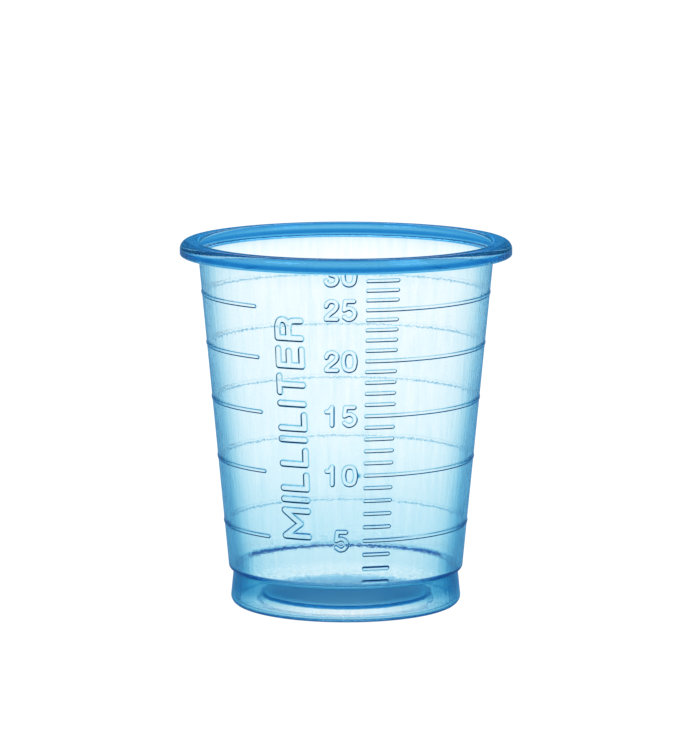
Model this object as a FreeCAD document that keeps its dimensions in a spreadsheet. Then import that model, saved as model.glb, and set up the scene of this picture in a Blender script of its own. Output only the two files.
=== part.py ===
"""Graduated medicine cup, 30 ml: one moulding of clear blue polypropylene.

A thin conical wall carries a solid rim bead at the top. It steps in at a stacking shoulder near the
bottom and ends in a foot that flares out again to a rounded corner. The floor has a raised round panel,
so that the cup stands on a ring. The scale is moulded on the outside: a ring for every 5 ml, open
at the front where the figures stand, and a short tick for every other millilitre. Each mark stands at
the height where the inside of this very cup holds its volume.

Millimetres, +Z up, the origin on the axis at the face the cup stands on, and the scale's figures at -Y.
"""
import FreeCAD, Part
import os

import Sketcher

SIZES = {
    "cup_height": 43.3,
    "shoulder_radius": 13.85,
    "shoulder_height": 4.16,
    "shoulder_step": 0.54,
    "shoulder_bevel": 0.3,
    "wall_flare": 3.56,
    "wall_foot_thickness": 0.5,
    "wall_top_thickness": 0.4,
    "rim_reach": 2.18,
    "rim_depth": 1.68,
    "rim_outer_round": 0.7,
    "rim_inner_bevel": 0.4,
    "rim_under_bevel": 0.2,
    "foot_flare": 0.425,
    "foot_round": 1.03,
    "floor_thickness": 0.5,
    "gutter_width": 2.68,
    "panel_rise": 0.9,
    "panel_slope": 0.5,
    "mark_width": 0.5,
    "mark_relief": 0.12,
    "mark_root": 0.1,
    "mark_start": 7.2,
    "tick_angle": 13.3,
    "ring_angle": 315.8,
    "ring_step": 5,
}

# Sizes that follow from the driving ones. Volumes are in cubic millimetres.
WORKED_OUT = {
    "wall_top_radius": "sizes.shoulder_radius + sizes.wall_flare",
    "rim_radius": "wall_top_radius + sizes.rim_reach",
    "rim_underside": "sizes.cup_height - sizes.rim_depth",
    "neck_radius": "sizes.shoulder_radius - sizes.shoulder_step",
    "foot_radius": "neck_radius + sizes.foot_flare",
    "wall_slope": "sizes.wall_flare / (rim_underside - sizes.shoulder_height)",
    "foot_slope": "sizes.foot_flare / sizes.shoulder_height",
    "bore_shoulder": "sizes.shoulder_radius - sizes.wall_foot_thickness",
    "bore_slope": "(wall_top_radius - sizes.wall_top_thickness - bore_shoulder)"
                  " / (rim_underside - sizes.shoulder_height)",
    "bore_mouth": "bore_shoulder + bore_slope * (sizes.cup_height - sizes.shoulder_height)",
    "step_height": "sizes.shoulder_height + sizes.wall_foot_thickness",
    "bore_step": "bore_shoulder + bore_slope * sizes.wall_foot_thickness",
    "neck_bore": "neck_radius - sizes.wall_foot_thickness",
    "floor_bore": "foot_radius - foot_slope * sizes.floor_thickness - sizes.wall_foot_thickness",
    "panel_top": "sizes.floor_thickness + sizes.panel_rise",
    "panel_foot": "floor_bore - sizes.gutter_width",
    "panel_radius": "panel_foot - sizes.panel_slope",
    "panel_run": "sizes.panel_slope / sizes.panel_rise",
    "hollow_radius": "panel_radius + sizes.floor_thickness * (panel_run - sqrt(1 + panel_run ^ 2))",
    "hollow_mouth": "hollow_radius + sizes.panel_slope",
    "neck_volume": "pi / 3 * (step_height - sizes.floor_thickness)"
                   " * (floor_bore ^ 2 + floor_bore * neck_bore + neck_bore ^ 2)",
    "panel_volume": "pi / 3 * sizes.panel_rise"
                    " * (panel_radius ^ 2 + panel_radius * panel_foot + panel_foot ^ 2)",
    "step_volume": "pi / 3 * sizes.wall_foot_thickness"
                   " * (bore_shoulder ^ 2 + bore_shoulder * bore_step + bore_step ^ 2)",
    "shoulder_volume": "neck_volume - panel_volume - step_volume",
}

CUBIC_MM_PER_ML = 1000
FULL_ML = 30
FULL_TURN = 360
TURN_TO_FRONT = -90
TOLERANCE = 1e-3
ROUND = "PartDesign::Fillet"
BEVEL = "PartDesign::Chamfer"


def fill_sheet(document, name, cells):
    """Make a spreadsheet with a name beside each number or formula, and the name as its alias."""
    sheet = document.addObject("Spreadsheet::Sheet", name)
    for row, (alias, content) in enumerate(cells.items(), start=1):
        sheet.set(f"A{row}", alias)
        sheet.set(f"B{row}", f"={content}" if isinstance(content, str) else str(content))
        sheet.setAlias(f"B{row}", alias)
    document.recompute()
    return sheet


def level_of(volume):
    """Expression for the height at which the cup's inside holds a volume in millilitres."""
    bore, slope = "worked_out.bore_shoulder", "worked_out.bore_slope"
    above_shoulder = f"({volume} * {CUBIC_MM_PER_ML} - worked_out.shoulder_volume)"
    return f"sizes.shoulder_height + (cbrt({bore} ^ 3 + 3 * {slope} * {above_shoulder} / pi) - {bore}) / {slope}"


def draw_outline(sketch, corners):
    """Draw a closed outline whose corners are pairs of expressions. None is a place on an axis."""
    places = []
    for across, up in corners:
        x = float(sketch.evalExpression(across)) if across else 0.0
        y = float(sketch.evalExpression(up)) if up else 0.0
        places.append(FreeCAD.Vector(x, y, 0))
    first = sketch.GeometryCount
    count = len(corners)
    for i in range(count):
        sketch.addGeometry(Part.LineSegment(places[i], places[(i + 1) % count]), False)
    for i in range(count):
        sketch.addConstraint(Sketcher.Constraint("Coincident", first + i, 2, first + (i + 1) % count, 1))
    for i, (across, up) in enumerate(corners):
        bind(sketch, "DistanceX", -2, first + i, across, places[i].x)
        bind(sketch, "DistanceY", -1, first + i, up, places[i].y)


def bind(sketch, kind, axis, line, expression, value):
    """Tie the start of a line to an axis, at a distance that an expression gives."""
    if expression is None:
        sketch.addConstraint(Sketcher.Constraint("PointOnObject", line, 1, axis))
        return
    index = sketch.addConstraint(Sketcher.Constraint(kind, -1, 1, line, 1, value))
    sketch.setExpression(f"Constraints[{index}]", expression)


def upright_sketch(body, name, azimuth="0"):
    """Make a sketch on the plane through the axis that faces an azimuth, X outwards and Y up."""
    sketch = body.newObject("Sketcher::SketchObject", name)
    plane = [item for item in body.Origin.OriginFeatures if item.Role == "XZ_Plane"][0]
    sketch.AttachmentSupport = [(plane, "")]
    sketch.MapMode = "FlatFace"
    sketch.AttachmentOffset = FreeCAD.Placement(FreeCAD.Vector(), FreeCAD.Rotation(FreeCAD.Vector(0, 1, 0), 0))
    sketch.setExpression("AttachmentOffset.Rotation.Angle", azimuth)
    return sketch


def turn(body, kind, name, sketch, angle=None):
    """Add or cut what a sketch sweeps when it turns about the cup's axis."""
    feature = body.newObject(kind, name)
    feature.Profile = sketch
    feature.ReferenceAxis = (sketch, ["V_Axis"])
    feature.Angle = FULL_TURN
    if angle:
        feature.setExpression("Angle", angle)
    sketch.Visibility = False
    body.Document.recompute()
    return feature


def ease_edges(body, kind, name, size, places):
    """Round or bevel the circular edges that pass through the given radius and height."""
    base = body.Tip
    wanted = [(float(body.evalExpression(r)), float(body.evalExpression(z))) for r, z in places]
    found = []
    for number, edge in enumerate(base.Shape.Edges, start=1):
        curve = edge.Curve
        if not isinstance(curve, Part.Circle):
            continue
        for radius, height in wanted:
            if abs(curve.Radius - radius) < TOLERANCE and abs(curve.Center.z - height) < TOLERANCE:
                found.append(f"Edge{number}")
    if len(found) != len(wanted):
        raise RuntimeError(f"{name}: {len(found)} edges found where {len(wanted)} are eased")
    feature = body.newObject(kind, name)
    feature.Base = (base, found)
    feature.setExpression("Radius" if kind == ROUND else "Size", size)
    body.Document.recompute()
    return feature


def mould_wall(body):
    """Turn the outside, then hollow it from above and under the floor's panel."""
    outside = upright_sketch(body, "outside_outline")
    draw_outline(outside, [
        (None, None),
        ("worked_out.foot_radius", None),
        ("worked_out.neck_radius", "sizes.shoulder_height"),
        ("sizes.shoulder_radius", "sizes.shoulder_height"),
        ("worked_out.wall_top_radius", "worked_out.rim_underside"),
        ("worked_out.rim_radius", "worked_out.rim_underside"),
        ("worked_out.rim_radius", "sizes.cup_height"),
        (None, "sizes.cup_height"),
    ])
    turn(body, "PartDesign::Revolution", "outside", outside)
    inside = upright_sketch(body, "inside_outline")
    draw_outline(inside, [
        (None, "worked_out.panel_top"),
        ("worked_out.panel_radius", "worked_out.panel_top"),
        ("worked_out.panel_foot", "sizes.floor_thickness"),
        ("worked_out.floor_bore", "sizes.floor_thickness"),
        ("worked_out.neck_bore", "worked_out.step_height"),
        ("worked_out.bore_step", "worked_out.step_height"),
        ("worked_out.bore_mouth", "sizes.cup_height"),
        (None, "sizes.cup_height"),
    ])
    turn(body, "PartDesign::Groove", "inside", inside)
    hollow = upright_sketch(body, "hollow_outline")
    draw_outline(hollow, [
        (None, None),
        ("worked_out.hollow_mouth", None),
        ("worked_out.hollow_radius", "sizes.panel_rise"),
        (None, "sizes.panel_rise"),
    ])
    turn(body, "PartDesign::Groove", "hollow_under_panel", hollow)


def ease_corners(body):
    """Round the rim and the foot, and bevel the smaller edges of the rim and the shoulder."""
    rim_radius, rim_underside = "worked_out.rim_radius", "worked_out.rim_underside"
    ease_edges(body, ROUND, "rim_outer_edge", "sizes.rim_outer_round", [(rim_radius, "sizes.cup_height")])
    ease_edges(body, BEVEL, "rim_inner_edge", "sizes.rim_inner_bevel",
               [("worked_out.bore_mouth", "sizes.cup_height")])
    ease_edges(body, BEVEL, "rim_under_edge", "sizes.rim_under_bevel", [(rim_radius, rim_underside)])
    ease_edges(body, BEVEL, "shoulder_edge", "sizes.shoulder_bevel",
               [("sizes.shoulder_radius", "sizes.shoulder_height")])
    ease_edges(body, ROUND, "foot_edge", "sizes.foot_round", [("worked_out.foot_radius", "0")])


def ridge(level):
    """Corners of one mark's section: its two roots in the wall, and its crest between them."""
    corners = []
    for height, reach in ((f"({level} - sizes.mark_width / 2)", "- sizes.mark_root"),
                          (level, "+ sizes.mark_relief"),
                          (f"({level} + sizes.mark_width / 2)", "- sizes.mark_root")):
        surface = f"sizes.shoulder_radius + worked_out.wall_slope * ({height} - sizes.shoulder_height)"
        corners.append((f"{surface} {reach}", height))
    return corners


def mould_scale(body, levels):
    """Raise a ring for each whole step of the scale and a tick for each other millilitre."""
    document = body.Document
    lowest = document.worked_out.step_height
    highest = document.worked_out.rim_underside - document.sizes.mark_width
    start = f"sizes.mark_start + {TURN_TO_FRONT}"
    rings = upright_sketch(body, "ring_outlines", start)
    ticks = upright_sketch(body, "tick_outlines", start)
    for volume, alias in levels.items():
        if lowest < document.levels.getPropertyByName(alias) < highest:
            sketch = ticks if volume % document.sizes.ring_step else rings
            draw_outline(sketch, ridge(f"levels.{alias}"))
    turn(body, "PartDesign::Revolution", "rings", rings, "sizes.ring_angle")
    turn(body, "PartDesign::Revolution", "ticks", ticks, "sizes.tick_angle")


def check(document, body):
    """Stop before anything is written if a feature failed or the cup isn't one sound solid."""
    for item in document.Objects:
        if "Invalid" in item.State or "Error" in item.State:
            raise RuntimeError(f"{item.Name}: {item.State}")
    shape = body.Shape
    if shape.isNull() or not shape.isValid() or len(shape.Solids) != 1:
        raise RuntimeError(f"{body.Label}: the shape isn't one valid solid")


def main():
    document = FreeCAD.newDocument("medicine_cup")
    fill_sheet(document, "sizes", SIZES)
    fill_sheet(document, "worked_out", WORKED_OUT)
    levels = {volume: f"level_{volume}" for volume in range(1, FULL_ML + 1)}
    fill_sheet(document, "levels", {alias: level_of(volume) for volume, alias in levels.items()})
    body = document.addObject("PartDesign::Body", "cup")
    body.Label = "cup"
    mould_wall(body)
    ease_corners(body)
    mould_scale(body, levels)
    document.recompute()
    check(document, body)
    os.makedirs("parts", exist_ok=True)
    body.Shape.exportStep("parts/cup.step")


main()
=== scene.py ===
"""A graduated medicine cup of clear blue polypropylene, standing on a white table.

The cup is one moulding and one mesh. Its section is turned about the axis, and the scale's rings, ticks,
figures and unit word stand proud of the wall, as the mould's engraving leaves them.
"""
import bisect
import math

import bmesh
import bpy
from bpy.props import FloatProperty, IntProperty, PointerProperty, StringProperty
from mathutils import Matrix, Vector


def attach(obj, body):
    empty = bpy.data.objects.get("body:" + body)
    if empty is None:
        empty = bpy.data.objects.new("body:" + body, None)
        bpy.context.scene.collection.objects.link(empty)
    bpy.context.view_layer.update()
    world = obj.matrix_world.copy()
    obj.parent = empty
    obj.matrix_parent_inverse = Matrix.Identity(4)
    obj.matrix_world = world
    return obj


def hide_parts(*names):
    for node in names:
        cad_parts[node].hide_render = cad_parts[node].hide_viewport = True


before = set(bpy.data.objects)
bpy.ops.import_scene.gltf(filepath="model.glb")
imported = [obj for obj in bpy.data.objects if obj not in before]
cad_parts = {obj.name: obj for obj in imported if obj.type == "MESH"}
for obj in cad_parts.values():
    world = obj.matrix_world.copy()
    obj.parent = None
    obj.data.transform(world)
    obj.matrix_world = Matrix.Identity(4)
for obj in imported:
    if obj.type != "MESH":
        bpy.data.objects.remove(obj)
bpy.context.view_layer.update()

bl_info = {
    "name": "Medicine cup",
    "version": (1, 0, 0),
    "blender": (4, 5, 0),
    "location": "3D View > Sidebar > Medicine cup",
    "description": "Builds a graduated medicine cup, its material and the studio around it",
    "category": "Add Mesh",
}

MM = 0.001
# Heights in mm between which the wall carries the scale. Below and above it the section is simply turned.
WALL_LOW = 4.64
WALL_HIGH = 41.5
# Degrees from column to column: where the section is turned, beside fine marks, and along plain ticks.
TURN_STEP = 2.5
FINE = 0.26
WIDE = 1.25
# Millimetres from row to row: at figures and letters, and on the plain wall.
CLOSE = 0.072
PLAIN_ROW = 1.4
# Millimetres from a rounding or a mark to the extra edge that keeps the face beside it flat.
SUPPORT = 0.06
# Radius in mm of a corner that is as tight as the mould lets it be.
TIGHT = 0.08
# Strength of the white that is seen: a little over 1, for the light that is lost at the plastic's faces.
WHITE = 1.12
# The unit word stands left of this azimuth in degrees, and the two lowest ticks under this height in mm.
# Both choose which sides of the marks carry painted shade.
WORD_SIDE = -12.0
LAST_PAIR = 7.2
# Millimetres under the bead in which the wall's dye goes over into the bead's.
RIM_BLEND = 0.2
# Sizes in mm of the plastic's patterns. The real ones are finer, and are drawn this coarse so that they show.
DRAW_LINE = 1 / 1.4
FINE_GRAIN = 1 / 2.6
SCRATCH = 1 / 1.5
COARSE_GRAIN = 1 / 1.7
# Heights in mm, and the units of dye that a look through the plastic goes past there: first for the faces
# that look away from the axis, and then for those that look towards it. No stop holds more than the deepest.
# Most units are painted shade and painted light: the bead's dark and light bands and its dark top,
# and the deeper foot, shoulder and lower wall. A little is real: the bead is thick,
# and the wall thickens towards the foot.
DEEPEST = 5.0
OUTER_PAINTED_DEPTHS = (
    (0.0, 0.8), (0.4, 0.05), (1.6, 0.05), (2.2, 0.9), (3.8, 0.9), (4.1, 1.7), (4.4, 1.5), (4.7, 0.5),
    (5.6, 0.35), (8.5, 0.28), (17.0, 0.1), (24.0, 0.06), (36.0, 0.02), (39.6, 0.02), (41.2, 0.25),
    (41.62, 0.2), (41.76, 0.0), (41.9, 4.4), (42.25, 4.0), (42.6, 0.3), (43.1, 0.2), (43.28, 4.6))
INNER_PAINTED_DEPTHS = (
    (0.0, 0.6), (0.5, 0.05), (2.0, 0.05), (2.6, 0.7), (4.1, 0.7), (4.3, 0.2), (4.7, 0.3), (5.6, 0.25),
    (8.5, 0.25), (17.0, 0.08), (24.0, 0.04), (36.0, 0.02), (41.0, 0.02), (41.4, 0.2), (41.65, 0.7),
    (41.85, 4.0), (42.4, 3.0), (42.75, 1.4), (43.15, 1.2), (43.28, 4.6))

# Strokes of the figures, in a cell 0.62 wide and 1 high: each stroke is a list of points on its middle
# line. Round forms are given by points on them and drawn through a smooth curve. A number is centred by the
# figure's mean width.
FIGURE_WIDTH = 0.6
FIGURES = {
    "0": [("loop", [(0.31, 0.0), (0.09, 0.09), (0.0, 0.36), (0.0, 0.64), (0.09, 0.91), (0.31, 1.0),
                    (0.53, 0.91), (0.62, 0.64), (0.62, 0.36), (0.53, 0.09)])],
    "1": [("line", [(0.0, 0.74), (0.13, 0.74), (0.3, 1.0), (0.3, 0.0)])],
    "2": [("curve", [(0.0, 0.72), (0.1, 0.92), (0.32, 1.0), (0.53, 0.9), (0.58, 0.7), (0.46, 0.5),
                     (0.22, 0.3), (0.02, 0.1), (0.0, 0.0)]), ("line", [(0.0, 0.0), (0.58, 0.0)])],
    "3": [("curve", [(0.02, 0.84), (0.16, 0.98), (0.38, 0.99), (0.54, 0.86), (0.5, 0.65), (0.26, 0.55)]),
          ("curve", [(0.26, 0.55), (0.52, 0.46), (0.6, 0.24), (0.46, 0.04), (0.22, -0.01), (0.05, 0.08),
                     (0.0, 0.22)])],
    "5": [("line", [(0.56, 1.0), (0.1, 1.0), (0.04, 0.52)]),
          ("curve", [(0.04, 0.52), (0.3, 0.62), (0.52, 0.52), (0.62, 0.3), (0.5, 0.07), (0.26, -0.01),
                     (0.04, 0.13)])],
}

# Strokes of the unit word's letters, in a cell as wide as the first number and 1 high.
LETTERS = {
    "M": (1.05, [("line", [(0.0, 0.0), (0.0, 1.0), (0.525, 0.32), (1.05, 1.0), (1.05, 0.0)])]),
    "I": (0.0, [("line", [(0.0, 0.0), (0.0, 1.0)])]),
    "L": (0.545, [("line", [(0.0, 1.0), (0.0, 0.0), (0.545, 0.0)])]),
    "T": (0.64, [("line", [(0.32, 0.0), (0.32, 1.0)]), ("line", [(0.0, 1.0), (0.64, 1.0)])]),
    "E": (0.655, [("line", [(0.655, 1.0), (0.0, 1.0), (0.0, 0.0), (0.655, 0.0)]),
                  ("line", [(0.0, 0.54), (0.58, 0.54)])]),
    "R": (0.755, [("line", [(0.0, 0.0), (0.0, 1.0), (0.46, 1.0)]),
                  ("curve", [(0.46, 1.0), (0.66, 0.92), (0.73, 0.77), (0.66, 0.6), (0.46, 0.52)]),
                  ("line", [(0.46, 0.52), (0.0, 0.52)]),
                  ("curve", [(0.4, 0.52), (0.6, 0.46), (0.69, 0.34), (0.71, 0.0)])]),
}


class CupSizes(bpy.types.PropertyGroup):
    """The section of the moulding. All sizes are in millimetres."""
    height: FloatProperty(name="Height", description="From the table to the rim's top", default=43.3)
    rim_radius: FloatProperty(name="Rim radius", description="Outside of the bead", default=19.59)
    rim_depth: FloatProperty(name="Rim depth", description="Height of the bead", default=1.68)
    rim_outer_round: FloatProperty(name="Rim outer round", description="Outer top edge", default=0.95)
    rim_inner_round: FloatProperty(name="Rim inner round", description="Edge at the mouth", default=0.6)
    rim_under_round: FloatProperty(name="Rim under round", description="Lower outer edge", default=0.2)
    wall_top_radius: FloatProperty(name="Wall top radius", description="Under the bead", default=17.41)
    wall_top_thickness: FloatProperty(name="Wall at the top", description="Thickness", default=0.4)
    wall_foot_thickness: FloatProperty(name="Wall at the foot", description="Thickness", default=0.5)
    shoulder_radius: FloatProperty(name="Shoulder radius", description="Bottom of the wall", default=13.85)
    shoulder_height: FloatProperty(name="Shoulder height", description="Above the table", default=4.16)
    shoulder_round: FloatProperty(name="Shoulder round", description="Outer edge", default=0.5)
    neck_radius: FloatProperty(name="Neck radius", description="Just under the shoulder", default=13.31)
    foot_radius: FloatProperty(name="Foot radius", description="At the table, unrounded", default=13.735)
    foot_round: FloatProperty(name="Foot round", description="Edge at the table", default=0.9)
    floor_thickness: FloatProperty(name="Floor thickness", description="Under the cavity", default=0.5)
    gutter_width: FloatProperty(name="Gutter width", description="Around the panel", default=2.68)
    panel_rise: FloatProperty(name="Panel rise", description="Above the gutter", default=0.9)
    panel_slope: FloatProperty(name="Panel slope", description="Run of its side", default=0.5)
    small_round: FloatProperty(name="Small round", description="Edges inside and under", default=0.25)


class ScaleSizes(bpy.types.PropertyGroup):
    """The moulded scale: what stands where on the wall."""
    full_ml: IntProperty(name="Full", description="Highest mark, in millilitres", default=30)
    ring_step: IntProperty(name="Ring step", description="Millilitres from ring to ring", default=5)
    mark_width: FloatProperty(name="Mark width", description="Rings and ticks, in mm", default=0.56)
    relief: FloatProperty(name="Relief", description="How far the marks stand out, in mm", default=0.15)
    flank: FloatProperty(name="Flank", description="Width of a mark's side, in mm", default=0.18)
    start: FloatProperty(name="Start", description="Where the marks begin, in degrees", default=7.5)
    tick_end: FloatProperty(name="Tick end", description="Where the ticks end, in degrees", default=21.1)
    ring_end: FloatProperty(name="Ring end", description="Where the rings end, in degrees", default=322.8)
    word_relief: FloatProperty(name="Word relief", description="How far it stands out, in mm", default=0.19)
    word_flank: FloatProperty(name="Word flank", description="Width of a letter's side, in mm", default=0.24)
    figure_height: FloatProperty(name="Figure height", description="Between middle lines, in mm", default=2.1)
    figure_stroke: FloatProperty(name="Figure stroke", description="In mm", default=0.66)
    figure_pitch: FloatProperty(name="Figure pitch", description="From figure to figure, in mm", default=1.98)
    figure_azimuth: FloatProperty(name="Figure azimuth", description="Middle, in degrees", default=-2.2)
    last_figure: FloatProperty(name="Last figure", description="Height of the top one, in mm", default=41.27)
    word: StringProperty(name="Word", description="The unit, in full", default="MILLILITER")
    word_azimuth: FloatProperty(name="Word azimuth", description="Middle, in degrees", default=-22.95)
    word_bottom: FloatProperty(name="Word bottom", description="Start of the word, in mm", default=10.31)
    word_length: FloatProperty(name="Word length", description="Up the wall, in mm", default=25.8)
    word_height: FloatProperty(name="Letter height", description="Between middle lines, in mm", default=2.9)
    word_gap: FloatProperty(name="Letter gap", description="Between middle lines, in mm", default=1.33)
    word_stroke: FloatProperty(name="Letter stroke", description="In mm", default=0.93)


class CupLook(bpy.types.PropertyGroup):
    """The plastic: its dye, and how many units of it a look through each part goes past, mostly painted
    shade.
    """
    dye: StringProperty(name="Dye", description="What one unit leaves of white in the wall, as sRGB hex",
                        default="#A3D7E9")
    bead_dye: StringProperty(name="Bead dye", description="The same in the bead", default="#A3D8EF")
    volume: FloatProperty(name="Volume", description="Units of dye in a metre of plastic", default=160.0)
    # Painted edge shade: units added where the plastic turns edge-on, in the wall, the bead and the foot.
    edge: FloatProperty(name="Edge", description="Units where the wall turns edge-on", default=4.6)
    bead_edge: FloatProperty(name="Bead edge", description="Units where the bead turns away", default=1.2)
    edge_power: FloatProperty(name="Edge power", description="How late the edge grows deep", default=4.6)
    foot_edge: FloatProperty(name="Foot edge", description="More where the foot turns away", default=1.7)
    # Painted shade: the deep top of the floor's panel, and the dark sides of the marks.
    panel: FloatProperty(name="Panel", description="Units in the top of the floor's panel", default=8.0)
    # Painted shade on the sides of the marks.
    flank: FloatProperty(name="Flank", description="Units in the sides of the marks", default=60.0)
    gloss: StringProperty(name="Gloss", description="Tint of the mirrored light, as sRGB hex",
                          default="#5AAEDC")
    ior: FloatProperty(name="IOR", description="Polypropylene", default=1.49)


class StageLook(bpy.types.PropertyGroup):
    """The camera and the light."""
    distance: FloatProperty(name="Distance", description="Camera to the cup's axis, in mm", default=553.1)
    eye: FloatProperty(name="Eye", description="Camera above the table, in mm", default=110.3)
    pitch: FloatProperty(name="Pitch", description="How far it looks down, in degrees", default=8.543)
    roll: FloatProperty(name="Roll", description="In degrees", default=-0.055)
    aside: FloatProperty(name="Aside", description="Camera beside the cup's axis, in mm", default=-0.165)
    lens: FloatProperty(name="Lens", description="In mm on a 36 mm sensor", default=226.97)
    room: StringProperty(name="Room", description="What the gloss mirrors, as sRGB hex",
                         default="#3588C0")


def colour(code):
    """Linear RGBA of an sRGB hex code."""
    parts = [int(code[i:i + 2], 16) / 255 for i in (1, 3, 5)]
    return tuple(c / 12.92 if c <= 0.04045 else ((c + 0.055) / 1.055) ** 2.4 for c in parts) + (1.0,)


def add_node(tree, kind, inputs=None, **settings):
    """Add a node, set what it is, and fill or link its sockets."""
    node = tree.nodes.new(kind)
    for name, value in settings.items():
        setattr(node, name, value)
    for name, value in (inputs or {}).items():
        if isinstance(value, bpy.types.NodeSocket):
            tree.links.new(value, node.inputs[name])
        else:
            node.inputs[name].default_value = value
    return node


def smooth(x):
    """Smooth step from 0 to 1."""
    x = min(max(x, 0.0), 1.0)
    return x * x * (3 - 2 * x)


def level_height(cup, volume):
    """Height in mm at which the cup's inside holds a volume in millilitres."""
    low = bore_corners(cup)
    bore, slope = low["bore"], low["slope"]

    def frustum(depth, r1, r2):
        return math.pi / 3 * depth * (r1 * r1 + r1 * r2 + r2 * r2)

    below = frustum(low["step"] - cup.floor_thickness, low["floor_bore"], low["neck_bore"])
    below -= frustum(cup.panel_rise, low["panel"], low["panel"] + cup.panel_slope)
    below -= frustum(cup.wall_foot_thickness, bore, bore + slope * cup.wall_foot_thickness)
    cubed = bore ** 3 + 3 * slope * (volume * 1000 - below) / math.pi
    return cup.shoulder_height + (math.copysign(abs(cubed) ** (1 / 3), cubed) - bore) / slope


def mark_height(cup, scale, volume):
    """Height of a mark's middle in mm. The lowest one is kept clear of the shoulder's rounding."""
    level = level_height(cup, volume)
    lowest = WALL_LOW + scale.mark_width / 2 + 0.02
    return max(level, lowest) if level > WALL_LOW else level


def bore_corners(cup):
    """Radii and heights of the inside, and how far its wall leans out for each millimetre up."""
    bore = cup.shoulder_radius - cup.wall_foot_thickness
    rise = cup.height - cup.rim_depth - cup.shoulder_height
    foot_slope = (cup.foot_radius - cup.neck_radius) / cup.shoulder_height
    floor_bore = cup.foot_radius - foot_slope * cup.floor_thickness - cup.wall_foot_thickness
    return {
        "bore": bore,
        "slope": (cup.wall_top_radius - cup.wall_top_thickness - bore) / rise,
        "step": cup.shoulder_height + cup.wall_foot_thickness,
        "neck_bore": cup.neck_radius - cup.wall_foot_thickness,
        "floor_bore": floor_bore,
        "panel": floor_bore - cup.gutter_width - cup.panel_slope,
    }


def rounded(corners, spacing=2.0, steps=6):
    """Points along an open line whose corners carry a radius, with short edges beside each arc."""
    points = [corners[0][:2]]
    for i in range(1, len(corners)):
        x, y, radius = corners[i]
        here = Vector((x, y))
        start = Vector(points[-1])
        arc = [here]
        if radius and i < len(corners) - 1:
            into = (Vector(corners[i - 1][:2]) - here).normalized()
            out = (Vector(corners[i + 1][:2]) - here).normalized()
            half = into.angle(out) / 2
            centre = here + (into + out).normalized() * (radius / math.sin(half))
            first = here + into * (radius / math.tan(half)) - centre
            last = here + out * (radius / math.tan(half)) - centre
            arc = []
            for k in range(steps + 1):
                arc.append(centre + first.slerp(last, k / steps) * radius)
        run = (arc[0] - start).length
        if run > 1e-6:
            support = min(SUPPORT, run / 4)
            count = max(1, math.ceil((run - 2 * support) / spacing))
            for k in range(count + 1):
                points.append(tuple(start.lerp(arc[0], (support + (run - 2 * support) * k / count) / run)))
        points.extend(tuple(point) for point in arc)
    return points


def section(cup):
    """The section but for the wall's outer face: from below up to it, and from its top on and down inside."""
    low = bore_corners(cup)
    underside = cup.height - cup.rim_depth
    mouth = low["bore"] + low["slope"] * (cup.height - cup.shoulder_height)
    run = cup.panel_slope / cup.panel_rise
    hollow = low["panel"] + cup.floor_thickness * (run - math.sqrt(1 + run * run))
    small = cup.small_round
    wall_low = (wall_radius(cup, WALL_LOW), WALL_LOW, 0)
    wall_high = (wall_radius(cup, WALL_HIGH), WALL_HIGH, 0)
    outside = rounded([
        (0.0, cup.panel_rise, 0),
        (hollow, cup.panel_rise, small),
        (hollow + cup.panel_slope, 0.0, small),
        (cup.foot_radius, 0.0, cup.foot_round),
        (cup.neck_radius, cup.shoulder_height, TIGHT),
        (cup.shoulder_radius, cup.shoulder_height, cup.shoulder_round),
        wall_low,
    ])
    inside = rounded([
        wall_high,
        (cup.wall_top_radius, underside, TIGHT),
        (cup.rim_radius, underside, cup.rim_under_round),
        (cup.rim_radius, cup.height, cup.rim_outer_round),
        (mouth, cup.height, cup.rim_inner_round),
        (low["bore"] + low["slope"] * cup.wall_foot_thickness, low["step"], TIGHT),
        (low["neck_bore"], low["step"], cup.shoulder_round * 0.8),
        (low["floor_bore"], cup.floor_thickness, cup.foot_round - cup.floor_thickness),
        (low["panel"] + cup.panel_slope, cup.floor_thickness, small),
        (low["panel"], cup.floor_thickness + cup.panel_rise, small),
        (0.0, cup.floor_thickness + cup.panel_rise, 0),
    ])
    return outside, inside


def wall_radius(cup, z):
    """Outer radius of the bare wall at a height."""
    rise = cup.height - cup.rim_depth - cup.shoulder_height
    slope = (cup.wall_top_radius - cup.shoulder_radius) / rise
    return cup.shoulder_radius + slope * (z - cup.shoulder_height)


def smooth_line(points, closed, steps=6):
    """Points of a smooth curve through the given ones."""
    count = len(points)
    result = []
    for i in range(count if closed else count - 1):
        p = [Vector(points[(i + k) % count]) if closed else Vector(points[min(max(i + k, 0), count - 1)])
             for k in (-1, 0, 1, 2)]
        for k in range(steps):
            t = k / steps
            point = (p[1] * 2 + (p[2] - p[0]) * t + (p[0] * 2 - p[1] * 5 + p[2] * 4 - p[3]) * t * t
                     + (p[1] * 3 - p[0] - p[2] * 3 + p[3]) * t ** 3) * 0.5
            result.append(tuple(point))
    result.append(tuple(points[0] if closed else points[-1]))
    return result


def figure_strokes(cup, scale, number, height):
    """Middle lines of one number's figures, as millimetres around the wall and up it."""
    text = str(number)
    size = scale.figure_height
    width = FIGURE_WIDTH * size + (len(text) - 1) * scale.figure_pitch
    left = math.radians(scale.figure_azimuth) * wall_radius(cup, height) - width / 2
    for place, figure in enumerate(text):
        for kind, points in FIGURES[figure]:
            line = points if kind == "line" else smooth_line(points, kind == "loop")
            yield [(left + place * scale.figure_pitch + x * size, height + (y - 0.5) * size) for x, y in line]


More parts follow.
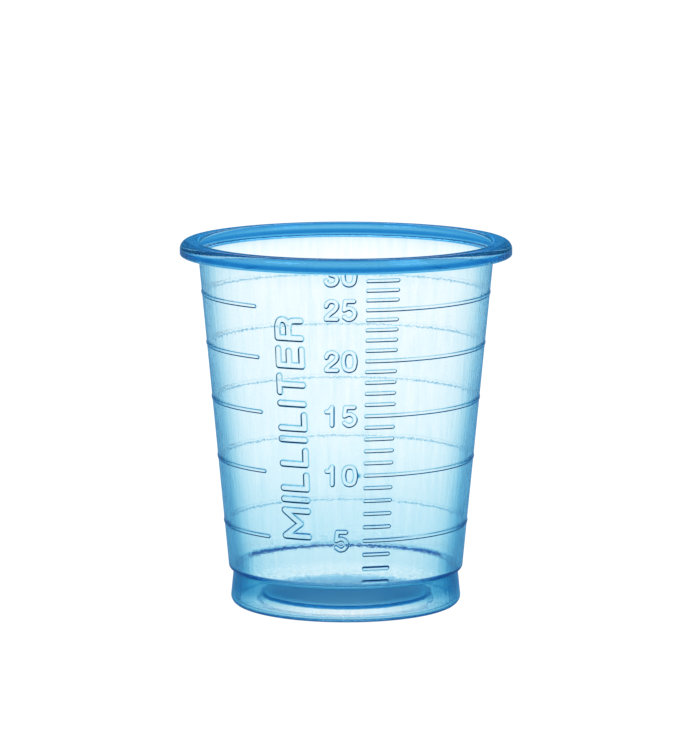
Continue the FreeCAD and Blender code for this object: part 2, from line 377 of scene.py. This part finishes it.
def word_strokes(cup, scale):
    """Middle lines of the unit word, which reads upwards, as millimetres around the wall and up it."""
    z = scale.word_bottom
    for letter in scale.word:
        width, strokes = LETTERS[letter]
        for kind, points in strokes:
            line = points if kind == "line" else smooth_line(points, kind == "loop")
            placed = []
            for x, y in line:
                up = z + x * scale.word_height
                middle = math.radians(scale.word_azimuth) * wall_radius(cup, up)
                placed.append((middle - (y - 0.5) * scale.word_height, up))
            yield placed
        z += width * scale.word_height + scale.word_gap


class Relief:
    """The rings, ticks, figures and letters, and how far they stand out on a grid of azimuths and heights."""

    def __init__(self, cup, scale):
        self.cup, self.scale = cup, scale
        self.marks = []
        self.bars = []
        for volume in range(1, scale.full_ml + 1):
            z = mark_height(cup, scale, volume)
            if WALL_LOW < z < WALL_HIGH - scale.mark_width:
                inset = math.degrees(scale.mark_width / 2 / wall_radius(cup, z))
                end = scale.tick_end if volume % scale.ring_step else scale.ring_end
                self.marks.append((z, scale.start + inset, end - inset))
        for number in range(scale.ring_step, scale.full_ml + 1, scale.ring_step):
            z = min(level_height(cup, number), scale.last_figure)
            for line in figure_strokes(cup, scale, number, z):
                self.add_bars(line, scale.figure_stroke, scale.flank, scale.relief)
        for line in word_strokes(cup, scale):
            self.add_bars(line, scale.word_stroke, scale.word_flank, scale.word_relief)

    def add_bars(self, line, width, flank, height):
        """A line of bars, each with round ends."""
        self.bars += [(a, b, width, flank, height) for a, b in zip(line, line[1:])]

    def fading(self, azimuth):
        """Share of its height that a ring keeps at an azimuth: half past the scale, and a quarter behind."""
        along = min(azimuth - self.scale.start - 10, self.scale.ring_end - azimuth)
        return 1 - 0.5 * smooth(along / 16) - 0.25 * smooth((along - 60) / 30)

    def at_grid(self, azimuths, heights):
        """Rise in mm and side share of the relief at each grid point, as a dictionary of (column, row)."""
        found = {}

        def stand_out(column, row, inwards, flank, height):
            """Raise a point that lies inside a mark's outline by some millimetres."""
            if inwards > 0:
                share = smooth(inwards / flank)
                side = (1 - abs(2 * share - 1)) * height / self.scale.relief
                found[column, row] = max(found.get((column, row), (0.0, 0.0)), (share * height, side))

        half = self.scale.mark_width / 2
        for level, start, end in self.marks:
            for row in self.between(heights, level - half, level + half):
                radius = wall_radius(self.cup, heights[row])
                for column, azimuth in enumerate(azimuths):
                    turn = azimuth % 360
                    beyond = math.radians(max(start - turn, turn - end, 0.0)) * radius
                    inwards = half - math.hypot(beyond, heights[row] - level)
                    stand_out(column, row, inwards, self.scale.flank, self.scale.relief * self.fading(turn))

        turns = [math.radians(azimuth) for azimuth in azimuths]
        # Radians more at each side, because the wall's radius changes along a bar.
        spare = 0.03
        for a, b, width, flank, height in self.bars:
            half = width / 2
            radius = wall_radius(self.cup, a[1])
            columns = self.between(turns, (min(a[0], b[0]) - half) / radius - spare,
                                   (max(a[0], b[0]) + half) / radius + spare)
            for row in self.between(heights, min(a[1], b[1]) - half, max(a[1], b[1]) + half):
                radius = wall_radius(self.cup, heights[row])
                for column in columns:
                    inwards = half - self.distance((turns[column] * radius, heights[row]), a, b)
                    stand_out(column, row, inwards, flank, height)
        return found

    @staticmethod
    def between(values, low, high):
        """Places in a rising list whose values lie in a range."""
        return range(bisect.bisect_left(values, low), bisect.bisect_right(values, high))

    @staticmethod
    def distance(point, a, b):
        """Distance of a point from a stretch of line."""
        ax, ay = point[0] - a[0], point[1] - a[1]
        bx, by = b[0] - a[0], b[1] - a[1]
        share = min(max((ax * bx + ay * by) / (bx * bx + by * by + 1e-12), 0.0), 1.0)
        return math.hypot(ax - share * bx, ay - share * by)


def spread(low, high, step):
    """Evenly spaced values from low to high, both included."""
    count = max(1, round((high - low) / step))
    return [low + (high - low) * i / count for i in range(count + 1)]


def joined(*runs):
    """One rising list from runs that may share their ends."""
    values = sorted({round(v, 6) for run in runs for v in run})
    return [v for i, v in enumerate(values) if i == 0 or v - values[i - 1] > 1e-4]


class CupMesh:
    """The turned mesh: rings of vertices that are joined by strips of faces."""

    def __init__(self, cup, scale):
        self.cup, self.scale = cup, scale
        self.bm = bmesh.new()
        # The share of painted shade on the sides of the marks, for the material.
        self.side = self.bm.verts.layers.float.new("side")
        self.inner = self.bm.verts.layers.float.new("inner")
        self.normals = []
        self.relief = Relief(cup, scale)

    def vertex(self, azimuth, radius, z, normal, side=0.0):
        """Add a vertex, with its normal as shares outwards, around and up."""
        angle = math.radians(azimuth)
        outwards = Vector((math.sin(angle), -math.cos(angle), 0))
        vert = self.bm.verts.new((outwards * radius + Vector((0, 0, z))) * MM)
        vert[self.side] = side
        vert[self.inner] = 1.0 if normal[0] < -1e-6 else 0.0
        around = Vector((math.cos(angle), math.sin(angle), 0))
        facing = outwards * normal[0] + around * normal[1] + Vector((0, 0, normal[2]))
        self.normals.append(facing.normalized())
        return vert

    def turned(self, points, azimuths, before=None, after=None):
        """Turn a run of the section. A point on the axis becomes one vertex. Returns the rings."""
        line = [Vector(p) for p in (before or points[0], *points, after or points[-1])]
        rings = []
        for last, here, following in zip(line, line[1:], line[2:]):
            along = (here - last).normalized() + (following - here).normalized()
            normal = (along.y, 0, -along.x)
            if here.x < 1e-6:
                rings.append([self.vertex(0, 0, here.y, (0, 0, -along.x))])
            else:
                rings.append([self.vertex(a, here.x, here.y, normal) for a in azimuths])
        count = len(azimuths)
        for lower, upper in zip(rings, rings[1:]):
            for i in range(count):
                j = (i + 1) % count
                if len(lower) == 1:
                    self.bm.faces.new((lower[0], upper[j], upper[i]))
                elif len(upper) == 1:
                    self.bm.faces.new((lower[i], lower[j], upper[0]))
                else:
                    self.bm.faces.new((lower[i], lower[j], upper[j], upper[i]))
        return rings

    def strip(self, low, low_at, high, high_at, closed=True):
        """Join two lines of vertices with unlike spacing by triangles, in step with their places."""
        if closed:
            low, low_at = low + low[:1], list(low_at) + [low_at[0] + 360]
            high, high_at = high + high[:1], list(high_at) + [high_at[0] + 360]
        i = j = 0
        while i < len(low) - 1 or j < len(high) - 1:
            step_low = i < len(low) - 1 and (j == len(high) - 1 or low_at[i + 1] <= high_at[j + 1])
            if step_low and j < len(high) - 1 and abs(low_at[i + 1] - high_at[j + 1]) < 1e-4:
                self.bm.faces.new((low[i], low[i + 1], high[j + 1], high[j]))
                i, j = i + 1, j + 1
            elif step_low:
                self.bm.faces.new((low[i], low[i + 1], high[j]))
                i += 1
            else:
                self.bm.faces.new((low[i], high[j + 1], high[j]))
                j += 1

    def wall_patch(self, azimuths, heights):
        """A patch of the outer wall with its relief. Returns columns of vertices."""
        found = self.relief.at_grid(azimuths, heights)
        lean = wall_radius(self.cup, 1) - wall_radius(self.cup, 0)

        def slope(before, after, distance):
            return (found.get(after, (0.0, 0.0))[0] - found.get(before, (0.0, 0.0))[0]) / distance

        columns = []
        last_c, last_r = len(azimuths) - 1, len(heights) - 1
        for c, azimuth in enumerate(azimuths):
            left, right = max(c - 1, 0), min(c + 1, last_c)
            column = []
            for r, z in enumerate(heights):
                low, high = max(r - 1, 0), min(r + 1, last_r)
                radius = wall_radius(self.cup, z)
                around = slope((left, r), (right, r), math.radians(azimuths[right] - azimuths[left]) * radius)
                up = slope((c, low), (c, high), heights[high] - heights[low])
                rise, side = found.get((c, r), (0.0, 0.0))
                # Painted shade on the sides of a mark, unlike on each side: the word is dark at its left, the
                # others at their right, and all but the two lowest ticks underneath.
                shade_left = 0.8 if azimuth < WORD_SIDE else -0.5
                shade_below = 0.8 if z > LAST_PAIR else -0.8
                shade_share = (shade_left * around + shade_below * up) / math.hypot(around, up, 0.05)
                side *= 0.07 + 0.93 * max(shade_share, 0.0)
                column.append(self.vertex(azimuth, radius + rise, z, (1, -around, -lean - up), side))
            columns.append(column)
        for left, right in zip(columns, columns[1:]):
            for r in range(len(heights) - 1):
                self.bm.faces.new((left[r], right[r], right[r + 1], left[r + 1]))
        return columns


def close_rows(levels, half, step):
    """Rows that lie close together around each level, and one further row at each side."""
    rows = []
    for level in levels:
        low, high = level - half, level + half
        rows += [low - SUPPORT, *spread(low, high, step), high + SUPPORT]
    return rows


def flank_rows(levels, scale):
    """Rows close together only at the upper and lower side of each mark."""
    middle = (scale.mark_width - scale.flank) / 2
    sides = [z + side * middle for z in levels for side in (-1, 1)]
    return close_rows(sides, scale.flank / 2, scale.flank / 4)


def wall_blocks(cup, scale):
    """Azimuths and heights of each block of the wall, close only where something fine stands."""
    levels = {ml: mark_height(cup, scale, ml) for ml in range(2, scale.full_ml - 1)}
    rings = flank_rows([z for ml, z in levels.items() if ml % scale.ring_step == 0], scale)
    ticks = flank_rows(levels.values(), scale)
    numbers = [min(level_height(cup, ml), scale.last_figure)
               for ml in range(scale.ring_step, scale.full_ml + 1, scale.ring_step)]
    half = (scale.figure_height + scale.figure_stroke) / 2 + 0.03
    figures = [z for z in close_rows(numbers, half, CLOSE) if z < WALL_HIGH]
    word = spread(scale.word_bottom - 0.5, scale.word_bottom + scale.word_length + 0.5, CLOSE)
    # In degrees: from a mark's end outwards and inwards, and from the word's and the figures' middle.
    beyond, within, word_side, figure_side = 0.3, 1.2, 8.5, 7.5
    ring_end = scale.ring_end - 360
    ring_ends_at = spread(ring_end - within, ring_end + beyond, FINE)
    word_at = spread(scale.word_azimuth - word_side, scale.word_azimuth + word_side, FINE)
    figures_at = spread(scale.figure_azimuth - figure_side, scale.figure_azimuth + figure_side, FINE)
    starts_at = spread(scale.start - beyond, scale.start + within, FINE)
    tick_ends_at = spread(scale.tick_end - within, scale.tick_end + beyond, FINE)
    ticks_at = joined(starts_at, spread(starts_at[-1], tick_ends_at[0], WIDE), tick_ends_at)
    behind = spread(ticks_at[-1] + WIDE, ring_ends_at[0] + 360 - TURN_STEP, TURN_STEP)
    blocks = ((ring_ends_at, rings), (word_at, word), (figures_at, figures), (ticks_at, ticks),
              (behind, rings))
    return [(azimuths, filled(heights)) for azimuths, heights in blocks]


def filled(heights):
    """The heights, with plain rows where they leave a wide gap."""
    gaps = joined([z for z in heights if WALL_LOW < z < WALL_HIGH], (WALL_LOW, WALL_HIGH))
    runs = []
    for a, b in zip(gaps, gaps[1:]):
        runs.append(spread(a, b, PLAIN_ROW if b - a > PLAIN_ROW / 2 else b - a))
    return joined(*runs)


def build_mesh(cup, scale):
    """Build the whole moulding as one closed mesh, with the side shares of painted shade for its material."""
    made = CupMesh(cup, scale)
    outside, inside = section(cup)
    blocks = wall_blocks(cup, scale)
    patches = [made.wall_patch(azimuths, heights) for azimuths, heights in blocks]
    for i, patch in enumerate(patches):
        following = (i + 1) % len(patches)
        made.strip(patch[-1], blocks[i][1], patches[following][0], blocks[following][1], closed=False)
    columns = [column for patch in patches for column in patch]
    azimuths = [azimuth for block in blocks for azimuth in block[0]]
    around = [azimuths[0] + TURN_STEP * i for i in range(round(360 / TURN_STEP))]
    below = made.turned(outside[:-1], around, after=outside[-1])
    above = made.turned(inside[1:], around, before=inside[0])
    made.strip(below[-1], around, [column[0] for column in columns], azimuths)
    made.strip([column[-1] for column in columns], azimuths, above[0], around)
    bmesh.ops.recalc_face_normals(made.bm, faces=made.bm.faces)
    mesh = bpy.data.meshes.new("moulded_cup")
    made.bm.to_mesh(mesh)
    made.bm.free()
    mesh.shade_smooth()
    mesh.normals_split_custom_set_from_vertices(made.normals)
    return mesh


def surface(tree, cup, place, out):
    """Add the surface's fine relief. Returns the draw lines and the normal.

    Draw lines run down the wall, where the cup slid out of its mould. The panel is grainier than the rest.
    """
    panel = bore_corners(cup)["panel"] * MM
    drawn = add_node(tree, "ShaderNodeMapping", {"Vector": place, "Scale": (1, 1, 0.1)})
    lines = add_node(tree, "ShaderNodeTexNoise", {
        "Vector": drawn.outputs["Vector"], "Scale": 1 / (DRAW_LINE * MM), "Detail": 3.0})
    grain = add_node(tree, "ShaderNodeTexNoise", {
        "Vector": place, "Scale": 1 / (FINE_GRAIN * MM), "Detail": 2.0})
    rough = add_node(tree, "ShaderNodeMapRange", {
        "Value": out, "From Min": panel, "From Max": panel + 1 * MM, "To Min": 0.3, "To Max": 0.06})
    fine = add_node(tree, "ShaderNodeBump", {
        "Height": grain.outputs["Fac"], "Strength": rough.outputs["Result"], "Distance": 0.05 * MM})
    bump = add_node(tree, "ShaderNodeBump", {
        "Height": lines.outputs["Fac"], "Strength": 0.1, "Distance": 0.2 * MM,
        "Normal": fine.outputs["Normal"]})
    return lines.outputs["Fac"], bump.outputs["Normal"]


def edge_units(tree, cup, look, height, facing, front_shade):
    """Painted edge shade: dye where the plastic turns edge-on, little in the bead and more low on the wall.
    """
    # Only a little of this is the longer path through the dye; the rest is painted shade.
    bead = (cup.height - cup.rim_depth) * MM
    shoulder = cup.shoulder_height * MM
    edge = add_node(tree, "ShaderNodeMath", {0: facing, 1: look.edge_power}, operation="POWER")
    full = add_node(tree, "ShaderNodeMapRange", {
        "Value": height, "From Min": bead - RIM_BLEND * MM, "From Max": bead,
        "To Min": look.edge, "To Max": look.bead_edge})
    edge = add_node(tree, "ShaderNodeMath", {0: edge.outputs[0], 1: full.outputs["Result"]},
                    operation="MULTIPLY")
    lower = add_node(tree, "ShaderNodeMapRange", {
        "Value": height, "From Min": shoulder, "From Max": 30 * MM, "To Min": 3.5, "To Max": 1.2})
    edge = add_node(tree, "ShaderNodeMath", {0: edge.outputs[0], 1: lower.outputs["Result"]},
                    operation="MULTIPLY")
    most = 3.5
    edge = add_node(tree, "ShaderNodeMath", {0: edge.outputs[0], 1: most}, operation="MINIMUM")
    # Painted shade: the foot's edge is darker still on the figures' side.
    foot = add_node(tree, "ShaderNodeMapRange", {
        "Value": height, "From Min": shoulder, "From Max": shoulder + 0.3 * MM,
        "To Min": look.foot_edge, "To Max": 0.0})
    foot = add_node(tree, "ShaderNodeMath", {0: foot.outputs["Result"], 1: front_shade}, operation="MULTIPLY")
    return add_node(tree, "ShaderNodeMath", {0: foot.outputs[0], 1: facing, 2: edge.outputs[0]},
                    operation="MULTIPLY_ADD").outputs[0]


def height_units(tree, cup, height, front_shade):
    """Units of dye by height, as painted shade and light: foot, shoulder, wall and the bead's darker waist.
    """
    level = add_node(tree, "ShaderNodeMapRange", {"Value": height, "From Max": cup.height * MM})
    ramps = []
    for depths in (OUTER_PAINTED_DEPTHS, INNER_PAINTED_DEPTHS):
        ramps.append(add_node(tree, "ShaderNodeValToRGB", {"Fac": level.outputs["Result"]}))
        stops = ramps[-1].color_ramp.elements
        while len(stops) < len(depths):
            stops.new(0.5)
        for stop, (place, units) in zip(stops, depths):
            stop.position = place / cup.height
            stop.color = (units / DEEPEST,) * 3 + (1,)
    inner = add_node(tree, "ShaderNodeAttribute", attribute_name="inner")
    depth = add_node(tree, "ShaderNodeMix", {
        "Factor": inner.outputs["Fac"], "A": ramps[0].outputs["Color"], "B": ramps[1].outputs["Color"]})
    depth = add_node(tree, "ShaderNodeMath", {0: depth.outputs["Result"], 1: DEEPEST}, operation="MULTIPLY")
    # Painted shade: under the shoulder the units are scaled by the front shade.
    shoulder = cup.shoulder_height * MM
    below = add_node(tree, "ShaderNodeMapRange", {
        "Value": height, "From Min": shoulder - 0.16 * MM, "From Max": shoulder + 0.44 * MM,
        "To Min": front_shade, "To Max": 1.0})
    return add_node(tree, "ShaderNodeMath", {0: depth.outputs[0], 1: below.outputs["Result"]},
                    operation="MULTIPLY").outputs[0]


def floor_units(tree, cup, look, apart, out):
    """Painted shade in the floor: deep in the top of its panel, less to the panel's border and its back."""
    raised = (cup.floor_thickness + cup.panel_rise) * MM
    panel = bore_corners(cup)["panel"] * MM
    # Painted shade: the panel's top is deep for the shadowed hollow under the floor.
    top = add_node(tree, "ShaderNodeMapRange", {
        "Value": apart.outputs["Z"], "From Min": raised - 0.12 * MM, "From Max": raised - 0.05 * MM,
        "To Max": look.panel})
    # Painted light: the panel's back is paler, for the white that it mirrors there.
    back = add_node(tree, "ShaderNodeMapRange", {
        "Value": apart.outputs["Y"], "From Max": 9 * MM, "To Min": 1.0, "To Max": 0.12})
    border = add_node(tree, "ShaderNodeMapRange", {
        "Value": out, "From Min": panel - 1.8 * MM, "From Max": panel - 0.4 * MM,
        "To Min": 1.0, "To Max": 0.3})
    share = add_node(tree, "ShaderNodeMath", {0: back.outputs["Result"], 1: border.outputs["Result"]},
                     operation="MULTIPLY")
    return add_node(tree, "ShaderNodeMath", {0: top.outputs["Result"], 1: share.outputs[0]},
                    operation="MULTIPLY").outputs[0]


def mark_units(tree, look, facing):
    """Painted shade in the sides of the marks, from the share that the mesh carries."""
    side = add_node(tree, "ShaderNodeAttribute", attribute_name="side")
    flank = add_node(tree, "ShaderNodeMapRange", {
        "Value": side.outputs["Fac"], "From Max": 0.6, "To Max": look.flank})
    steep = add_node(tree, "ShaderNodeMapRange", {
        "Value": facing, "From Min": 0.02, "From Max": 0.6, "To Min": 0.2})
    return add_node(tree, "ShaderNodeMath", {0: flank.outputs["Result"], 1: steep.outputs["Result"]},
                    operation="MULTIPLY").outputs[0]


def streak_units(tree, cup, place, height, lines):
    """Units of dye more or less in the draw lines and slanting scratches, and in grain above the shoulder."""
    streak = add_node(tree, "ShaderNodeMapRange", {
        "Value": lines, "From Min": 0.35, "From Max": 0.65, "To Min": -0.03, "To Max": 0.07})
    slanted = add_node(tree, "ShaderNodeMapping", {
        "Vector": place, "Rotation": (0.0, 0.3, 0.0), "Scale": (1, 1, 0.05)})
    scratch = add_node(tree, "ShaderNodeTexNoise", {
        "Vector": slanted.outputs["Vector"], "Scale": 1 / (SCRATCH * MM)})
    scratch = add_node(tree, "ShaderNodeMapRange", {
        "Value": scratch.outputs["Fac"], "From Min": 0.6, "From Max": 0.75, "To Max": 0.14})
    streak = add_node(tree, "ShaderNodeMath", {0: streak.outputs["Result"], 1: scratch.outputs["Result"]},
                      operation="ADD")
    # Coarse grain of dye, strongest just above the shoulder and fading out a few millimetres up.
    shoulder = cup.shoulder_height * MM
    above = add_node(tree, "ShaderNodeMapRange", {
        "Value": height, "From Min": shoulder + 0.24 * MM, "From Max": shoulder + 0.54 * MM})
    low = add_node(tree, "ShaderNodeMapRange", {
        "Value": height, "From Min": shoulder + 0.54 * MM, "From Max": shoulder + 3.04 * MM,
        "To Min": 1.0, "To Max": 0.05})
    low = add_node(tree, "ShaderNodeMath", {0: low.outputs["Result"], 1: above.outputs["Result"]},
                   operation="MULTIPLY")
    wide = add_node(tree, "ShaderNodeMapping", {
        "Vector": place, "Rotation": (0.25, 0.25, 0.0), "Scale": (1, 1, 3.5)})
    coarse = add_node(tree, "ShaderNodeTexNoise", {
        "Vector": wide.outputs["Vector"], "Scale": 1 / (COARSE_GRAIN * MM), "Detail": 3.0})
    coarse = add_node(tree, "ShaderNodeMapRange", {
        "Value": coarse.outputs["Fac"], "From Min": 0.4, "From Max": 0.65, "To Min": -0.2, "To Max": 0.35})
    return add_node(tree, "ShaderNodeMath", {
        0: coarse.outputs["Result"], 1: low.outputs[0], 2: streak.outputs[0]},
        operation="MULTIPLY_ADD").outputs[0]


def cup_material(look, cup):
    """Clear polypropylene with a blue dye, moulded thin.

    The wall is so thin that the dye hardly shows face on. Where it turns edge-on, dye is added: a little for
    the longer path through it, and the rest painted shade. The bead with its painted dark and light bands,
    the floor's panel and the steep sides of the marks carry painted shade as well, much deeper than they are
    thick. Faint flow and draw lines run down the wall.
    """
    material = bpy.data.materials.new("blue_polypropylene")
    material.use_nodes = True
    tree = material.node_tree
    tree.nodes.clear()
    place = add_node(tree, "ShaderNodeTexCoord").outputs["Object"]
    apart = add_node(tree, "ShaderNodeSeparateXYZ", {"Vector": place})
    height = apart.outputs["Z"]
    flat = add_node(tree, "ShaderNodeVectorMath", {0: place, 1: (1, 1, 0)}, operation="MULTIPLY")
    out = add_node(tree, "ShaderNodeVectorMath", {0: flat.outputs["Vector"]},
                   operation="LENGTH").outputs["Value"]
    facing = add_node(tree, "ShaderNodeLayerWeight", {"Blend": 0.5}).outputs["Facing"]
    # Painted shade: under the shoulder the plastic is made deeper on the figures' side than behind.
    front_shade = add_node(tree, "ShaderNodeMapRange", {
        "Value": apart.outputs["Y"], "From Min": -7 * MM, "From Max": 7 * MM,
        "To Min": 1.8, "To Max": 0.25}).outputs["Result"]
    lines, normal = surface(tree, cup, place, out)

    # The floor is seen only at a slant, so it gets none of the painted edge shade.
    floor = bore_corners(cup)["floor_bore"] * MM
    wall = add_node(tree, "ShaderNodeMapRange", {
        "Value": out, "From Min": floor - 0.68 * MM, "From Max": floor - 0.43 * MM}).outputs["Result"]
    body = add_node(tree, "ShaderNodeMix", {
        "Factor": wall, "A": floor_units(tree, cup, look, apart, out),
        "B": height_units(tree, cup, height, front_shade)})
    body = add_node(tree, "ShaderNodeMath", {
        0: edge_units(tree, cup, look, height, facing, front_shade), 1: wall, 2: body.outputs["Result"]},
        operation="MULTIPLY_ADD")
    units = add_node(tree, "ShaderNodeMath", {0: mark_units(tree, look, facing), 1: body.outputs[0]},
                     operation="ADD")
    units = add_node(tree, "ShaderNodeMath", {
        0: units.outputs[0], 1: streak_units(tree, cup, place, height, lines)}, operation="ADD")

    rim = (cup.height - cup.rim_depth) * MM
    bead = add_node(tree, "ShaderNodeMapRange", {
        "Value": height, "From Min": rim - RIM_BLEND * MM, "From Max": rim})
    dye = add_node(tree, "ShaderNodeMixRGB", {
        "Fac": bead.outputs["Result"], "Color1": colour(look.dye), "Color2": colour(look.bead_dye)})
    tint = add_node(tree, "ShaderNodeGamma", {"Color": dye.outputs["Color"], "Gamma": units.outputs[0]})
    shader = add_node(tree, "ShaderNodeBsdfPrincipled", {
        "Base Color": tint.outputs["Color"], "Roughness": 0.04, "IOR": look.ior,
        "Specular Tint": colour(look.gloss), "Transmission Weight": 1.0, "Normal": normal})
    # The node takes in density times one less the colour in a metre, so the colour is kept within 0 to 1.
    scale = 3
    kept = [1 + math.log(c) / scale for c in colour(look.bead_dye)[:3]]
    within = add_node(tree, "ShaderNodeVolumeAbsorption", {
        "Color": (*kept, 1.0), "Density": look.volume * scale})
    add_node(tree, "ShaderNodeOutputMaterial", {"Surface": shader.outputs[0], "Volume": within.outputs[0]})
    return material


def seen_colour(tree, room):
    """Colour of the white background: white where it is looked at, and the room's in a mirrored glance."""
    path = add_node(tree, "ShaderNodeLightPath")
    mirror = add_node(tree, "ShaderNodeMath", {
        0: path.outputs["Is Glossy Ray"], 1: path.outputs["Is Transmission Ray"]},
        operation="SUBTRACT", use_clamp=True)
    mixed = add_node(tree, "ShaderNodeMixRGB", {
        "Fac": mirror.outputs[0], "Color1": (WHITE, WHITE, WHITE, 1), "Color2": colour(room)})
    return mixed.outputs["Color"]


def white_to_the_eye(tree, light, white):
    """Mix two shaders: the white one where the camera looks, also through plastic and in a mirror."""
    path = add_node(tree, "ShaderNodeLightPath")
    seen = add_node(tree, "ShaderNodeMath", {
        0: path.outputs["Is Camera Ray"], 1: path.outputs["Is Transmission Ray"]}, operation="MAXIMUM")
    seen = add_node(tree, "ShaderNodeMath", {0: seen.outputs[0], 1: path.outputs["Is Glossy Ray"]},
                    operation="MAXIMUM")
    return add_node(tree, "ShaderNodeMixShader", {
        0: seen.outputs[0], 1: light.outputs[0], 2: white.outputs[0]})


def floor_material(room):
    """Plain white paper that the camera sees as white, with the cup's soft shadow left on it."""
    material = bpy.data.materials.new("white_paper")
    material.use_nodes = True
    tree = material.node_tree
    tree.nodes.clear()
    paper = add_node(tree, "ShaderNodeBsdfDiffuse", {"Color": (0.9, 0.9, 0.9, 1)})
    glow = add_node(tree, "ShaderNodeEmission", {"Color": seen_colour(tree, room)})
    lit = add_node(tree, "ShaderNodeMixShader", {0: 0.88, 1: paper.outputs[0], 2: glow.outputs[0]})
    add_node(tree, "ShaderNodeOutputMaterial", {"Surface": white_to_the_eye(tree, paper, lit).outputs[0]})
    return material


def studio_world(room):
    """White all round to the camera and through the plastic, and a soft grey sky for everything else."""
    world = bpy.data.worlds.new("studio")
    bpy.context.scene.world = world
    world.use_nodes = True
    tree = world.node_tree
    tree.nodes.clear()
    light = add_node(tree, "ShaderNodeBackground", {"Color": (1, 1, 1, 1), "Strength": 0.7})
    white = add_node(tree, "ShaderNodeBackground", {"Color": seen_colour(tree, room)})
    add_node(tree, "ShaderNodeOutputWorld", {"Surface": white_to_the_eye(tree, light, white).outputs[0]})


class CUP_OT_build_cup(bpy.types.Operator):
    """Build the moulded cup with its scale and its plastic"""
    bl_idname = "medicine_cup.build_cup"
    bl_label = "Build the cup"
    bl_options = {"REGISTER", "UNDO"}

    def execute(self, context):
        cup, scale, look = context.scene.cup_sizes, context.scene.scale_sizes, context.scene.cup_look
        mesh = build_mesh(cup, scale)
        piece = bpy.data.objects.new("moulded_cup", mesh)
        context.scene.collection.objects.link(piece)
        mesh.materials.append(cup_material(look, cup))
        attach(piece, "root")
        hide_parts("cup")
        return {"FINISHED"}


class CUP_OT_build_stage(bpy.types.Operator):
    """Build the table, the light and the camera"""
    bl_idname = "medicine_cup.build_stage"
    bl_label = "Build the stage"
    bl_options = {"REGISTER", "UNDO"}

    def execute(self, context):
        stage = context.scene.stage_look
        mesh = bpy.data.meshes.new("table")
        half = 3.0
        corners = [(-half, -half, 0), (half, -half, 0), (half, half, 0), (-half, half, 0)]
        mesh.from_pydata(corners, [], [(0, 1, 2, 3)])
        table = bpy.data.objects.new("table", mesh)
        context.scene.collection.objects.link(table)
        mesh.materials.append(floor_material(stage.room))
        studio_world(stage.room)
        for name, place, power in (("key", (-0.45, -0.3, 0.65), 1.6), ("fill", (0.5, -0.4, 0.5), 1.0),
                                   ("back", (0.0, 0.9, 0.5), 0.3)):
            light = bpy.data.lights.new(name, "AREA")
            light.energy = power
            light.size = 0.3
            lamp = bpy.data.objects.new(name, light)
            lamp.location = place
            lamp.rotation_euler = (Vector((0, 0, 0.02)) - Vector(place)).to_track_quat("-Z", "Y").to_euler()
            context.scene.collection.objects.link(lamp)
        data = bpy.data.cameras.new("camera")
        data.lens, data.sensor_width = stage.lens, 36.0
        camera = bpy.data.objects.new("camera", data)
        camera.location = (stage.aside * MM, -stage.distance * MM, stage.eye * MM)
        turn = Matrix.Rotation(math.radians(-stage.roll), 3, "Z")
        camera.rotation_euler = (Matrix.Rotation(math.radians(90 - stage.pitch), 3, "X") @ turn).to_euler()
        context.scene.collection.objects.link(camera)
        context.scene.camera = camera
        context.scene.view_settings.view_transform = "Standard"
        # Light that is caught in the bead comes out only after very many bounces.
        cycles = context.scene.cycles
        cycles.max_bounces = cycles.transmission_bounces = cycles.glossy_bounces = 300
        return {"FINISHED"}


class CUP_PT_panel(bpy.types.Panel):
    """Sizes and looks of the cup, and the buttons that build it"""
    bl_label = "Medicine cup"
    bl_idname = "CUP_PT_panel"
    bl_space_type = "VIEW_3D"
    bl_region_type = "UI"
    bl_category = "Medicine cup"

    def draw(self, context):
        layout = self.layout
        for operator in OPERATORS:
            layout.operator(operator.bl_idname)
        for name, group in GROUPS.items():
            box = layout.box()
            box.label(text=name.replace("_", " ").capitalize())
            for setting in group.__annotations__:
                box.prop(getattr(context.scene, name), setting)


GROUPS = {"cup_sizes": CupSizes, "scale_sizes": ScaleSizes, "cup_look": CupLook, "stage_look": StageLook}
OPERATORS = (CUP_OT_build_cup, CUP_OT_build_stage)


def register():
    for cls in (*GROUPS.values(), *OPERATORS, CUP_PT_panel):
        bpy.utils.register_class(cls)
    for name, group in GROUPS.items():
        setattr(bpy.types.Scene, name, PointerProperty(type=group))


def unregister():
    for name in GROUPS:
        delattr(bpy.types.Scene, name)
    for cls in reversed((*GROUPS.values(), *OPERATORS, CUP_PT_panel)):
        bpy.utils.unregister_class(cls)


def main():
    register()
    bpy.ops.medicine_cup.build_cup()
    bpy.ops.medicine_cup.build_stage()


if __name__ == "__main__":
    main()
